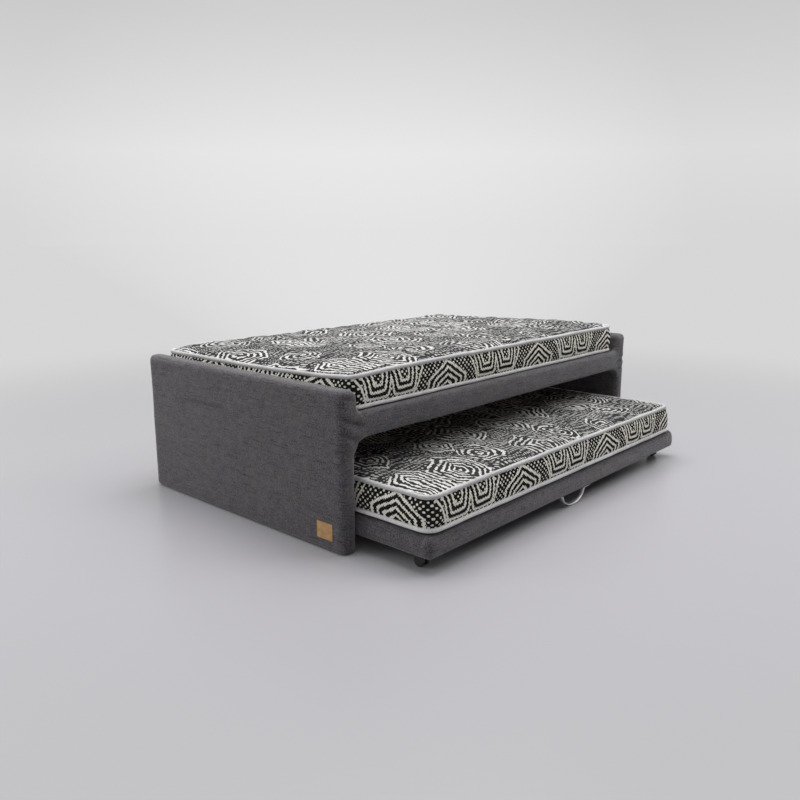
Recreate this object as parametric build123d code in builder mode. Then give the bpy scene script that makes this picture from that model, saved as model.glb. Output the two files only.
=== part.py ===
"""Upholstered trundle bed: a low bed between two padded end panels, with a second
bed on castors that rolls out from under it.

Millimetres, +Z up, floor at Z = 0. X runs along the bed, and the trundle is pulled
out towards -Y. X = 0 is the middle of the bed. Y = 0 is halfway between the front
of the half-open trundle and the back of the bed.
"""

import os

from build123d import *

# ---- bed frame ----------------------------------------------------------------
bed_length = 2070.0  # over the two end panels
bed_depth = 1220.0
panel_height = 590.0  # top of an end panel above the floor
panel_thickness = 68.0
panel_padding = 10.0  # foam and cloth over the panel's boards
panel_edge_radius = 22.0
panel_board = 6.0  # skin board on each side of the panel's timber frame
panel_post_width = 90.0
panel_rail_height = 70.0
glide_height = 8.0
glide_radius = 16.0
glide_chamfer = 1.0
glide_pin_radius = 4.0
glide_pin_length = 22.0
glide_inset = 45.0  # from a panel's front and back edges to the outer glides

# ---- front and back rails, and what carries the slats -------------------------
rail_top = 505.0
rail_height = 93.0
rail_thickness = 40.0
rail_padding = 6.0
rail_edge_radius = 13.0
rail_setback = 3.0  # rail face behind the panels' front edges
gusset_radius = 48.0  # padded fillet between a panel and the front rail
gusset_setback = 5.0  # behind the panels' front edges
gusset_thickness = 34.0
bearer_size = 30.0
slat_thickness = 18.0
slat_width = 70.0
slat_count = 13
slat_end_gap = 2.0
slat_first_centre = 62.0  # from a panel's inner face to the first slat's middle
beam_width = 40.0
beam_height = 60.0
hanger_metal = 2.5
hanger_length = 42.0
hanger_side_gap = 0.4
stretcher_height = 120.0
stretcher_bottom = 60.0
stretcher_thickness = 22.0
stretcher_setback = 38.0  # from the bed's back face
cleat_size = 24.0

# ---- trundle ------------------------------------------------------------------
trundle_out = 328.0  # how far the slab stands out of the bed as modelled
slab_side_gap = 6.0  # to each end panel
slab_depth = 1150.0
slab_height = 80.0
slab_bottom = 56.0
slab_padding = 14.0
slab_top_padding = 8.0
slab_corner_radius = 36.0
slab_top_radius = 12.0
slab_bottom_radius = 7.0
dust_cloth = 1.0
deck_board = 6.0
deck_joint = 1.0  # gap between the two halves of the deck
long_rail_width = 40.0
end_rail_width = 92.0
cross_rail_width = 40.0
cross_rail_count = 4

# ---- castors ------------------------------------------------------------------
wheel_radius = 21.0
wheel_width = 11.0
wheel_edge_radius = 2.5
wheel_gap = 1.0  # between a wheel and the web
web_width = 9.0
web_radius = 14.0
neck_radius = 18.0
neck_height = 8.0
castor_plate = 64.0
castor_plate_thickness = 3.0
axle_radius = 3.0
axle_clearance = 0.05
castor_inset_x = 58.0  # from the slab's ends
castor_inset_y = 84.0  # from the slab's front and back

# ---- pull handle and name tag -------------------------------------------------
handle_width = 156.0  # over the loop
handle_drop = 50.0
handle_metal = 3.0
handle_strap = 24.0
handle_flange = 38.0
handle_setback = 6.0  # behind the slab's front face
tag_width = 86.0
tag_height = 68.0
tag_thickness = 2.0
tag_recess = 1.4
tag_from_front = 55.0
tag_bottom = 40.0
tag_radius = 2.0

# ---- mattresses ---------------------------------------------------------------
mattress_height = 138.0
mattress_corner_radius = 75.0
mattress_band = 8.0  # thickness of the quilted border
mattress_crown = 6.0  # how far the top panel stands above the piping
piping_radius = 7.0
upper_mattress_end_gap = 17.0  # to each end panel
upper_mattress_setback = 22.0  # from the bed's front and back
lower_mattress_left_gap = 8.0  # to the slab's left end
lower_mattress_right_gap = 44.0
lower_mattress_setback = 13.0  # from the slab's front and back

# ---- screws -------------------------------------------------------------------
screw_clearance = 0.2
bracket_metal = 3.0
bracket_leg = 40.0
bracket_height = 34.0
bracket_rise = 6.0  # above the rail's underside
bracket_screw_radius = 3.0
bracket_screw_length = 30.0
bracket_head_radius = 6.0
bracket_head_height = 3.0
slat_screw_radius = 2.0
slat_screw_length = 40.0
slat_head_radius = 4.0
castor_screw_radius = 2.5
castor_screw_length = 25.0
castor_head_radius = 4.5
castor_head_height = 2.5
castor_screw_inset = 8.0
handle_screw_inset = 11.0

# ---- places worked out from the sizes -----------------------------------------
half_length = bed_length / 2
inner_face = half_length - panel_thickness  # X of an end panel's inner face
bed_front = (trundle_out - bed_depth) / 2
bed_back = bed_front + bed_depth
bed_middle = (bed_front + bed_back) / 2
panel_corner_radius = min(panel_edge_radius, 2.3 * panel_padding)
panel_core_height = panel_height - panel_padding - glide_height
panel_core_depth = bed_depth - 2 * panel_padding
panel_core = panel_thickness - 2 * panel_padding
panel_timber = panel_core - 2 * panel_board

rail_bottom = rail_top - rail_height
rail_middle = (rail_top + rail_bottom) / 2
front_rail_inside = bed_front + rail_setback + rail_thickness
back_rail_inside = bed_back - rail_setback - rail_thickness
bearer_top = rail_top - slat_thickness
bearer_bottom = bearer_top - bearer_size
beam_bottom = bearer_top - beam_height
bracket_bottom = rail_bottom + bracket_rise

slab_half = inner_face - slab_side_gap
slab_front = bed_front - trundle_out
slab_back = slab_front + slab_depth
slab_middle = (slab_front + slab_back) / 2
slab_top = slab_bottom + slab_height
deck_top = slab_top - slab_top_padding
timber_top = deck_top - deck_board
timber_bottom = slab_bottom + dust_cloth
timber_half = slab_half - slab_padding
timber_front = slab_front + slab_padding
timber_back = slab_back - slab_padding

castor_spots = {
    "front_left": (-slab_half + castor_inset_x, slab_front + castor_inset_y),
    "front_right": (slab_half - castor_inset_x, slab_front + castor_inset_y),
    "back_left": (-slab_half + castor_inset_x, slab_back - castor_inset_y),
    "back_right": (slab_half - castor_inset_x, slab_back - castor_inset_y),
}
castor_screw_pitch = castor_plate - 2 * castor_screw_inset
handle_middle = slab_front + handle_setback + handle_strap / 2
handle_screw_x = handle_width / 2 + handle_flange - handle_screw_inset

os.makedirs("parts", exist_ok=True)


def save(part, name):
    part.label = name
    export_step(part, f"parts/{name}.step")


def screw_spots_on_brackets():
    """Screw positions of the four corner brackets, as (side, end, height) triples."""
    heights = (bracket_bottom + bracket_height / 4, bracket_bottom + 3 * bracket_height / 4)
    return [(side, end, z) for side in (-1, 1) for end in (-1, 1) for z in heights]


def rail_inside(end):
    """Inner face of the front rail (end = -1) or of the back rail (end = 1)."""
    return front_rail_inside if end < 0 else back_rail_inside


def panel_screw_locations(side):
    """Axes of the bracket screws that enter one end panel from inside the bed."""
    spots = [(end, z) for s, end, z in screw_spots_on_brackets() if s == side]
    plane = Plane(origin=(side * inner_face, 0, 0), x_dir=(0, 1, 0), z_dir=(side, 0, 0))
    return [
        plane * Location((rail_inside(end) - end * (bracket_leg + bracket_metal) / 2, z * side, 0))
        for end, z in spots
    ]


def rail_screw_locations(end):
    """Axes of the bracket screws that enter the front or back rail."""
    spots = [(side, z) for side, e, z in screw_spots_on_brackets() if e == end]
    plane = Plane(origin=(0, rail_inside(end), 0), x_dir=(1, 0, 0), z_dir=(0, end, 0))
    return [
        plane * Location((side * (inner_face - (bracket_leg + bracket_metal) / 2), -z * end, 0))
        for side, z in spots
    ]


def drill(locations, radius, depth):
    """Cuts round holes along each location's +Z, from its origin, out of the open part."""
    with Locations(locations):
        Cylinder(
            radius, depth, align=(Align.CENTER, Align.CENTER, Align.MIN), mode=Mode.SUBTRACT
        )


def glide_spots(side):
    x = side * (half_length - panel_thickness / 2)
    return [(x, bed_front + glide_inset), (x, bed_middle), (x, bed_back - glide_inset)]


# ---- end panels ---------------------------------------------------------------
def panel_cover(side):
    """Foam and cloth over a panel, open underneath where the cloth is stapled."""
    centre = (side * (half_length - panel_thickness / 2), bed_middle)
    with BuildPart() as cover:
        with BuildSketch(Plane.XY.offset(glide_height)):
            with Locations(centre):
                Rectangle(panel_thickness, bed_depth)
        extrude(amount=panel_height - glide_height)
        fillet(cover.edges().filter_by(Axis.Z), panel_corner_radius)
        fillet(cover.faces().sort_by(Axis.Z)[-1].edges(), panel_corner_radius)
        with BuildSketch(Plane.XY.offset(glide_height)):
            with Locations(centre):
                Rectangle(panel_core, panel_core_depth)
        extrude(amount=panel_core_height, mode=Mode.SUBTRACT)
        drill(panel_screw_locations(side), bracket_screw_radius + screw_clearance, panel_padding)
        if side < 0:
            with BuildSketch(Plane.YZ.offset(-half_length)):
                with Locations((bed_front + tag_from_front, tag_bottom)):
                    Rectangle(tag_width, tag_height, align=(Align.MIN, Align.MIN))
            extrude(amount=tag_recess, mode=Mode.SUBTRACT)
    return cover.part


def panel_boards(side):
    """The two skin boards of a panel, one on each side of its timber frame."""
    middle = side * (half_length - panel_thickness / 2)
    offset_x = (panel_core - panel_board) / 2
    with BuildPart() as boards:
        with BuildSketch(Plane.XY.offset(glide_height)):
            with Locations((middle - offset_x, bed_middle), (middle + offset_x, bed_middle)):
                Rectangle(panel_board, panel_core_depth)
        extrude(amount=panel_core_height)
        drill(
            panel_screw_locations(side),
            bracket_screw_radius + screw_clearance,
            panel_padding + panel_board,
        )
    return boards.part


def panel_frame(side):
    """Glued timber frame inside a panel: posts, and rails at the foot, bed height and top."""
    middle = side * (half_length - panel_thickness / 2)
    front = bed_front + panel_padding
    rail_bottoms = (
        glide_height,
        bearer_top - panel_rail_height,
        glide_height + panel_core_height - panel_rail_height,
    )
    with BuildPart() as frame:
        with BuildSketch(Plane.XY.offset(glide_height)):
            with Locations(
                (middle, front + panel_post_width / 2),
                (middle, bed_middle),
                (middle, bed_back - panel_padding - panel_post_width / 2),
            ):
                Rectangle(panel_timber, panel_post_width)
        extrude(amount=panel_core_height)
        for bottom in rail_bottoms:
            with BuildSketch(Plane.XY.offset(bottom)):
                with Locations((middle, bed_middle)):
                    Rectangle(panel_timber, panel_core_depth)
            extrude(amount=panel_rail_height)
        drill(
            panel_screw_locations(side),
            bracket_screw_radius,
            bracket_screw_length - bracket_metal + 1,
        )
        drill(
            [Location((x, y, glide_height)) for x, y in glide_spots(side)],
            glide_pin_radius,
            glide_pin_length,
        )
    return frame.part


for side, word in ((-1, "left"), (1, "right")):
    save(panel_cover(side), f"{word}_panel_cover")
    save(panel_boards(side), f"{word}_panel_boards")
    save(panel_frame(side), f"{word}_panel_frame")

with BuildPart() as panel_glides:
    with BuildSketch(Plane.XY):
        with Locations(glide_spots(-1) + glide_spots(1)):
            Circle(glide_radius)
    extrude(amount=glide_height)
    with BuildSketch(Plane.XY.offset(glide_height)):
        with Locations(glide_spots(-1) + glide_spots(1)):
            Circle(glide_pin_radius)
    extrude(amount=glide_pin_length)
    chamfer(panel_glides.edges().group_by(Axis.Z)[0], glide_chamfer)
save(panel_glides.part, "panel_glides")

with BuildPart() as name_tag:
    with BuildSketch(Plane.YZ.offset(-half_length + tag_recess)):
        with Locations((bed_front + tag_from_front, tag_bottom)):
            Rectangle(tag_width, tag_height, align=(Align.MIN, Align.MIN))
    extrude(amount=-tag_thickness)
    fillet(name_tag.edges().filter_by(Axis.X), tag_radius)
save(name_tag.part, "name_tag")


# ---- rails --------------------------------------------------------------------
def rail_cover(end):
    """Padded cloth sleeve round a rail, open at both ends against the panels."""
    middle_y = rail_inside(end) + end * rail_thickness / 2
    with BuildPart() as cover:
        with BuildSketch(Plane.YZ.offset(-inner_face)):
            with Locations((middle_y, rail_middle)):
                RectangleRounded(rail_thickness, rail_height, rail_edge_radius)
                Rectangle(
                    rail_thickness - 2 * rail_padding,
                    rail_height - 2 * rail_padding,
                    mode=Mode.SUBTRACT,
                )
        extrude(amount=2 * inner_face)
        drill(rail_screw_locations(end), bracket_screw_radius + screw_clearance, rail_padding)
    return cover.part


def rail_core(end):
    """Solid timber board inside a rail."""
    middle_y = rail_inside(end) + end * rail_thickness / 2
    with BuildPart() as core:
        with BuildSketch(Plane.YZ.offset(-inner_face)):
            with Locations((middle_y, rail_middle)):
                Rectangle(rail_thickness - 2 * rail_padding, rail_height - 2 * rail_padding)
        extrude(amount=2 * inner_face)
        drill(
            rail_screw_locations(end),
            bracket_screw_radius,
            bracket_screw_length - bracket_metal + 1,
        )
    return core.part


for end, word in ((-1, "front"), (1, "back")):
    save(rail_cover(end), f"{word}_rail_cover")
    save(rail_core(end), f"{word}_rail_core")

with BuildPart() as corner_gussets:
    gusset_top = rail_bottom + rail_edge_radius
    gusset_end = -inner_face + gusset_radius
    with BuildSketch(Plane.XZ.offset(-(bed_front + gusset_setback))):
        with BuildLine():
            Polyline(
                (-inner_face, rail_bottom - gusset_radius),
                (-inner_face, gusset_top),
                (gusset_end, gusset_top),
                (gusset_end, rail_bottom),
            )
            RadiusArc(
                (gusset_end, rail_bottom), (-inner_face, rail_bottom - gusset_radius), gusset_radius
            )
        make_face()
        mirror(about=Plane.YZ)
    extrude(amount=-gusset_thickness)
    with BuildSketch(Plane.YZ.offset(-inner_face)):
        with Locations((front_rail_inside - rail_thickness / 2, rail_middle)):
            RectangleRounded(rail_thickness, rail_height, rail_edge_radius)
    extrude(amount=2 * inner_face, mode=Mode.SUBTRACT)
save(corner_gussets.part, "corner_gussets")

# ---- slats, and the bearers they are screwed to --------------------------------
slat_pitch = 2 * (inner_face - slat_first_centre) / (slat_count - 1)
slat_centres = [-inner_face + slat_first_centre + slat_pitch * n for n in range(slat_count)]
bearer_lines = (front_rail_inside + bearer_size / 2, back_rail_inside - bearer_size / 2)
slat_screw_spots = [(x, y) for x in slat_centres for y in bearer_lines]
slat_head_height = slat_head_radius - slat_screw_radius

with BuildPart() as slat_bearers:
    with BuildSketch(Plane.XY.offset(bearer_bottom)):
        with Locations([(0, y) for y in bearer_lines]):
            Rectangle(2 * inner_face, bearer_size)
    extrude(amount=bearer_size)
    with BuildSketch(Plane.XY.offset(bearer_top)):
        with Locations(slat_screw_spots):
            Circle(slat_screw_radius)
    extrude(amount=-(slat_screw_length - slat_thickness), mode=Mode.SUBTRACT)
save(slat_bearers.part, "slat_bearers")

with BuildPart() as deck_slats:
    with BuildSketch(Plane.XY.offset(bearer_top)):
        with Locations([(x, bed_middle) for x in slat_centres]):
            Rectangle(slat_width, back_rail_inside - front_rail_inside - 2 * slat_end_gap)
    extrude(amount=slat_thickness)
    with Locations([(x, y, rail_top) for x, y in slat_screw_spots]):
        CounterSinkHole(
            slat_screw_radius, slat_head_radius, depth=slat_thickness, counter_sink_angle=90
        )
save(deck_slats.part, "deck_slats")

with BuildPart() as slat_screws:
    with BuildSketch(Plane.XY.offset(rail_top)):
        with Locations(slat_screw_spots):
            Circle(slat_head_radius)
    extrude(amount=-slat_head_height, taper=45)
    with BuildSketch(Plane.XY.offset(rail_top - slat_head_height)):
        with Locations(slat_screw_spots):
            Circle(slat_screw_radius)
    extrude(amount=-(slat_screw_length - slat_head_height))
save(slat_screws.part, "slat_screws")

# ---- middle beam and its steel hangers ----------------------------------------
beam_half = inner_face - hanger_metal
hanger_inside = beam_width / 2 + hanger_side_gap

with BuildPart() as centre_beam:
    with BuildSketch(Plane.XY.offset(beam_bottom)):
        with Locations((0, bed_middle)):
            Rectangle(2 * beam_half, beam_width)
    extrude(amount=beam_height)
save(centre_beam.part, "centre_beam")

with BuildPart() as beam_hangers:
    hanger_width = 2 * (hanger_inside + hanger_metal)
    with BuildSketch(Plane.XY.offset(beam_bottom - hanger_metal)):
        with Locations(
            (-inner_face + hanger_length / 2, bed_middle),
            (inner_face - hanger_length / 2, bed_middle),
        ):
            Rectangle(hanger_length, hanger_width)
    extrude(amount=beam_height + hanger_metal)
    with BuildSketch(Plane.XY.offset(beam_bottom)):
        with Locations((0, bed_middle)):
            Rectangle(2 * beam_half, 2 * hanger_inside)
    extrude(amount=beam_height, mode=Mode.SUBTRACT)
save(beam_hangers.part, "beam_hangers")

# ---- back stretcher -----------------------------------------------------------
stretcher_back = bed_back - stretcher_setback
stretcher_front = stretcher_back - stretcher_thickness

with BuildPart() as back_stretcher:
    with BuildSketch(Plane.XY.offset(stretcher_bottom)):
        with Locations((0, stretcher_front)):
            Rectangle(2 * inner_face, stretcher_thickness, align=(Align.CENTER, Align.MIN))
    extrude(amount=stretcher_height)
save(back_stretcher.part, "back_stretcher")

with BuildPart() as stretcher_cleats:
    with BuildSketch(Plane.XY.offset(stretcher_bottom)):
        with Locations(
            (-inner_face + cleat_size / 2, stretcher_back),
            (inner_face - cleat_size / 2, stretcher_back),
        ):
            Rectangle(cleat_size, cleat_size, align=(Align.CENTER, Align.MIN))
    extrude(amount=stretcher_height)
save(stretcher_cleats.part, "stretcher_cleats")

# ---- corner brackets and their screws -----------------------------------------
with BuildPart() as rail_brackets:
    for side in (-1, 1):
        for end in (-1, 1):
            x = side * inner_face
            y = rail_inside(end)
            leg_x = side * bracket_leg
            leg_y = end * bracket_leg
            metal_x = side * bracket_metal
            metal_y = end * bracket_metal
            with BuildSketch(Plane.XY.offset(bracket_bottom)):
                with BuildLine():
                    Polyline(
                        (x, y),
                        (x - leg_x, y),
                        (x - leg_x, y - metal_y),
                        (x - metal_x, y - metal_y),
                        (x - metal_x, y - leg_y),
                        (x, y - leg_y),
                        close=True,
                    )
                make_face()
            extrude(amount=bracket_height)
    bracket_seats = panel_screw_locations(-1) + panel_screw_locations(1)
    bracket_seats += rail_screw_locations(-1) + rail_screw_locations(1)
    bracket_holes = [seat * Location((0, 0, -bracket_metal)) for seat in bracket_seats]
    drill(bracket_holes, bracket_screw_radius + screw_clearance, bracket_metal)
save(rail_brackets.part, "rail_brackets")


def round_head_screws(locations, radius, length, head_radius, head_height):
    """Pan-head screws: each location is at the seat of the head, with +Z into the wood."""
    with BuildPart() as screws:
        with Locations(locations):
            Cylinder(radius, length, align=(Align.CENTER, Align.CENTER, Align.MIN))
            Cylinder(head_radius, head_height, align=(Align.CENTER, Align.CENTER, Align.MAX))
    return screws.part


save(
    round_head_screws(
        bracket_holes,
        bracket_screw_radius,
        bracket_screw_length,
        bracket_head_radius,
        bracket_head_height,
    ),
    "bracket_screws",
)


# ---- trundle slab -------------------------------------------------------------
with BuildPart() as trundle_cover:
    with BuildSketch(Plane.XY.offset(slab_bottom)):
        with Locations((0, slab_middle)):
            RectangleRounded(2 * slab_half, slab_depth, slab_corner_radius)
    extrude(amount=slab_height)
    fillet(trundle_cover.faces().sort_by(Axis.Z)[-1].edges(), slab_top_radius)
    fillet(trundle_cover.faces().sort_by(Axis.Z)[0].edges(), slab_bottom_radius)
    with BuildSketch(Plane.XY.offset(slab_bottom)):
        with Locations((0, slab_middle)):
            Rectangle(2 * timber_half, slab_depth - 2 * slab_padding)
    extrude(amount=slab_height - slab_top_padding, mode=Mode.SUBTRACT)
save(trundle_cover.part, "trundle_cover")

with BuildPart() as trundle_deck:
    half_deck = timber_half - deck_joint / 2
    with BuildSketch(Plane.XY.offset(timber_top)):
        with Locations((-timber_half, slab_middle)):
            Rectangle(half_deck, slab_depth - 2 * slab_padding, align=(Align.MIN, Align.CENTER))
        with Locations((timber_half, slab_middle)):
            Rectangle(half_deck, slab_depth - 2 * slab_padding, align=(Align.MAX, Align.CENTER))
    extrude(amount=deck_board)
save(trundle_deck.part, "trundle_deck")

castor_screw_spots = []
for castor_x, castor_y in castor_spots.values():
    for step_x in (-1, 1):
        for step_y in (-1, 1):
            screw_x = castor_x + step_x * castor_screw_pitch / 2
            screw_y = castor_y + step_y * castor_screw_pitch / 2
            castor_screw_spots.append((screw_x, screw_y))
handle_screw_spots = [(-handle_screw_x, handle_middle), (handle_screw_x, handle_middle)]
castor_seat = slab_bottom - castor_plate_thickness
handle_seat = slab_bottom - handle_metal


def up_from(spots, height):
    return [Location((x, y, height)) for x, y in spots]


timber_height = timber_top - timber_bottom
inside_front = timber_front + long_rail_width
inside_back = timber_back - long_rail_width
castor_hole_depth = castor_screw_length - castor_plate_thickness - dust_cloth + 1
handle_hole_depth = castor_screw_length - handle_metal - dust_cloth + 1

with BuildPart() as trundle_long_rails:
    with BuildSketch(Plane.XY.offset(timber_bottom)):
        with Locations(
            (0, timber_front + long_rail_width / 2), (0, timber_back - long_rail_width / 2)
        ):
            Rectangle(2 * timber_half, long_rail_width)
    extrude(amount=timber_height)
    drill(up_from(handle_screw_spots, timber_bottom), castor_screw_radius, handle_hole_depth)
    drill(up_from(castor_screw_spots, timber_bottom), castor_screw_radius, castor_hole_depth)
save(trundle_long_rails.part, "trundle_long_rails")

with BuildPart() as trundle_end_rails:
    with BuildSketch(Plane.XY.offset(timber_bottom)):
        with Locations(
            (-timber_half + end_rail_width / 2, slab_middle),
            (timber_half - end_rail_width / 2, slab_middle),
        ):
            Rectangle(end_rail_width, inside_back - inside_front)
    extrude(amount=timber_height)
    drill(up_from(castor_screw_spots, timber_bottom), castor_screw_radius, castor_hole_depth)
save(trundle_end_rails.part, "trundle_end_rails")

cross_pitch = 2 * (timber_half - end_rail_width) / (cross_rail_count + 1)
cross_centres = [(n - (cross_rail_count - 1) / 2) * cross_pitch for n in range(cross_rail_count)]

with BuildPart() as trundle_cross_rails:
    with BuildSketch(Plane.XY.offset(timber_bottom)):
        with Locations([(x, slab_middle) for x in cross_centres]):
            Rectangle(cross_rail_width, inside_back - inside_front)
    extrude(amount=timber_height)
save(trundle_cross_rails.part, "trundle_cross_rails")

with BuildPart() as dust_cloth_sheet:
    with BuildSketch(Plane.XY.offset(slab_bottom)):
        with Locations((0, slab_middle)):
            Rectangle(2 * timber_half, slab_depth - 2 * slab_padding)
        with Locations(castor_screw_spots + handle_screw_spots):
            Circle(castor_screw_radius + screw_clearance, mode=Mode.SUBTRACT)
    extrude(amount=dust_cloth)
save(dust_cloth_sheet.part, "dust_cloth")

# ---- castors ------------------------------------------------------------------
wheel_middle = web_width / 2 + wheel_gap + wheel_width / 2
axle_length = 2 * (wheel_middle + wheel_width / 2)

with BuildPart() as castor_webs:
    for castor_x, castor_y in castor_spots.values():
        with BuildSketch(Plane.YZ.offset(castor_x - web_width / 2)):
            with Locations((castor_y, wheel_radius)):
                Circle(web_radius)
                Rectangle(
                    2 * web_radius,
                    castor_seat - wheel_radius,
                    align=(Align.CENTER, Align.MIN),
                )
        extrude(amount=web_width)
    with BuildSketch(Plane.XY.offset(castor_seat)):
        with Locations(list(castor_spots.values())):
            RectangleRounded(castor_plate, castor_plate, castor_screw_inset)
        with Locations(castor_screw_spots):
            Circle(castor_screw_radius + screw_clearance, mode=Mode.SUBTRACT)
    extrude(amount=castor_plate_thickness)
    with BuildSketch(Plane.XY.offset(castor_seat)):
        with Locations(list(castor_spots.values())):
            Circle(neck_radius)
    extrude(amount=-neck_height)
    for castor_x, castor_y in castor_spots.values():
        with BuildSketch(Plane.YZ.offset(castor_x - web_width / 2)):
            with Locations((castor_y, wheel_radius)):
                Circle(axle_radius + axle_clearance)
        extrude(amount=web_width, mode=Mode.SUBTRACT)
save(castor_webs.part, "castor_bodies")

for corner, (castor_x, castor_y) in castor_spots.items():
    with BuildPart() as wheels:
        for step in (-1, 1):
            with BuildSketch(Plane.YZ.offset(castor_x + step * wheel_middle - wheel_width / 2)):
                with Locations((castor_y, wheel_radius)):
                    Circle(wheel_radius)
            extrude(amount=wheel_width)
        rims = wheels.edges().filter_by(GeomType.CIRCLE)
        fillet(rims, wheel_edge_radius)
        with BuildSketch(Plane.YZ.offset(castor_x - axle_length / 2)):
            with Locations((castor_y, wheel_radius)):
                Circle(axle_radius)
        extrude(amount=axle_length, mode=Mode.SUBTRACT)
    save(wheels.part, f"castor_wheels_{corner}")

    with BuildPart() as axle:
        with BuildSketch(Plane.YZ.offset(castor_x - axle_length / 2)):
            with Locations((castor_y, wheel_radius)):
                Circle(axle_radius)
        extrude(amount=axle_length)
    save(axle.part, f"castor_axle_{corner}")

save(
    round_head_screws(
        up_from(castor_screw_spots, castor_seat),
        castor_screw_radius,
        castor_screw_length,
        castor_head_radius,
        castor_head_height,
    ),
    "castor_screws",
)

# ---- pull handle --------------------------------------------------------------
with BuildPart() as pull_handle:
    with BuildSketch(Plane.XZ.offset(-(slab_front + handle_setback))):
        with Locations((0, slab_bottom)):
            Ellipse(handle_width / 2, handle_drop)
            Rectangle(
                handle_width, handle_drop, align=(Align.CENTER, Align.MIN), mode=Mode.SUBTRACT
            )
        with Locations((0, handle_seat)):
            Rectangle(
                handle_width + 2 * handle_flange,
                handle_metal,
                align=(Align.CENTER, Align.MIN),
            )
        with Locations((0, slab_bottom)):
            Ellipse(
                handle_width / 2 - handle_metal, handle_drop - handle_metal, mode=Mode.SUBTRACT
            )
    extrude(amount=-handle_strap)
    drill(
        up_from(handle_screw_spots, handle_seat),
        castor_screw_radius + screw_clearance,
        handle_metal,
    )
save(pull_handle.part, "pull_handle")

save(
    round_head_screws(
        up_from(handle_screw_spots, handle_seat),
        castor_screw_radius,
        castor_screw_length,
        castor_head_radius,
        castor_head_height,
    ),
    "handle_screws",
)


# ---- mattresses ---------------------------------------------------------------
def mattress(name, centre, bottom, length, depth):
    """One mattress: foam core, border band, two quilted panels and two runs of piping."""
    top = bottom + mattress_height
    piping_size = 2 * piping_radius

    with BuildPart() as core:
        with BuildSketch(Plane.XY.offset(bottom + piping_size)):
            with Locations(centre):
                RectangleRounded(
                    length - 2 * mattress_band,
                    depth - 2 * mattress_band,
                    mattress_corner_radius - mattress_band,
                )
        extrude(amount=mattress_height - 2 * piping_size)
    save(core.part, f"{name}_mattress_core")

    with BuildPart() as border:
        with BuildSketch(Plane.XY.offset(bottom + piping_size)):
            with Locations(centre):
                RectangleRounded(length, depth, mattress_corner_radius)
                RectangleRounded(
                    length - 2 * mattress_band,
                    depth - 2 * mattress_band,
                    mattress_corner_radius - mattress_band,
                    mode=Mode.SUBTRACT,
                )
        extrude(amount=mattress_height - 2 * piping_size)
    save(border.part, f"{name}_mattress_border")

    panel_heights = {
        "bottom_panel": (bottom, piping_size),
        "top_panel": (top - piping_size, piping_size + mattress_crown),
    }
    for word, (height, thickness) in panel_heights.items():
        with BuildPart() as panel:
            with BuildSketch(Plane.XY.offset(height)):
                with Locations(centre):
                    RectangleRounded(
                        length - 2 * piping_size,
                        depth - 2 * piping_size,
                        mattress_corner_radius - piping_size,
                    )
            extrude(amount=thickness)
            if word == "top_panel":
                fillet(panel.faces().sort_by(Axis.Z)[-1].edges(), mattress_crown - 0.5)
        save(panel.part, f"{name}_mattress_{word}")

    with BuildPart() as piping:
        for height in (bottom + piping_radius, top - piping_radius):
            with BuildSketch(Plane.XY.offset(height), mode=Mode.PRIVATE) as outline:
                with Locations(centre):
                    RectangleRounded(
                        length - piping_size,
                        depth - piping_size,
                        mattress_corner_radius - piping_radius,
                    )
            run = outline.sketch.face().outer_wire()
            with BuildSketch(Plane(origin=run @ 0, z_dir=run % 0)):
                Circle(piping_radius)
            sweep(path=run)
    save(piping.part, f"{name}_mattress_piping")


mattress(
    "upper",
    (0, bed_middle),
    rail_top,
    2 * (inner_face - upper_mattress_end_gap),
    bed_depth - 2 * upper_mattress_setback,
)
mattress(
    "lower",
    ((lower_mattress_left_gap - lower_mattress_right_gap) / 2, slab_middle),
    slab_top,
    2 * slab_half - lower_mattress_left_gap - lower_mattress_right_gap,
    slab_depth - 2 * lower_mattress_setback,
)
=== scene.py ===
import math

import bmesh
import bpy
import numpy as np
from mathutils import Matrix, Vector, noise


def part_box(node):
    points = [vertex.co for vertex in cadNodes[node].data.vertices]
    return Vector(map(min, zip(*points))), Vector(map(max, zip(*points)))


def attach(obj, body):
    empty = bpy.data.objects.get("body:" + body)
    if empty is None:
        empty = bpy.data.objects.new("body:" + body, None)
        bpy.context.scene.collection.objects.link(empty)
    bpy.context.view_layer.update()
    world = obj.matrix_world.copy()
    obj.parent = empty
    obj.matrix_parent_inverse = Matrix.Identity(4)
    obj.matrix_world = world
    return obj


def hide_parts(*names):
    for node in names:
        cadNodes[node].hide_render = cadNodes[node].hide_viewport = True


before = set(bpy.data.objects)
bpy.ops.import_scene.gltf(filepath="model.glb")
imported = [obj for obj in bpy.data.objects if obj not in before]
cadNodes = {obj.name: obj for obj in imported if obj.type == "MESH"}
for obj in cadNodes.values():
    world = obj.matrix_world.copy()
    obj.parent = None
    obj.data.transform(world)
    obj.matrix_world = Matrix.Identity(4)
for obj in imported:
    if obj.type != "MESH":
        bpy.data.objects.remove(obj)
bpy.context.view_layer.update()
scene = bpy.context.scene
print("frame loaded:", len(cadNodes), "nodes")

fullTurn = 2 * math.pi


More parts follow.
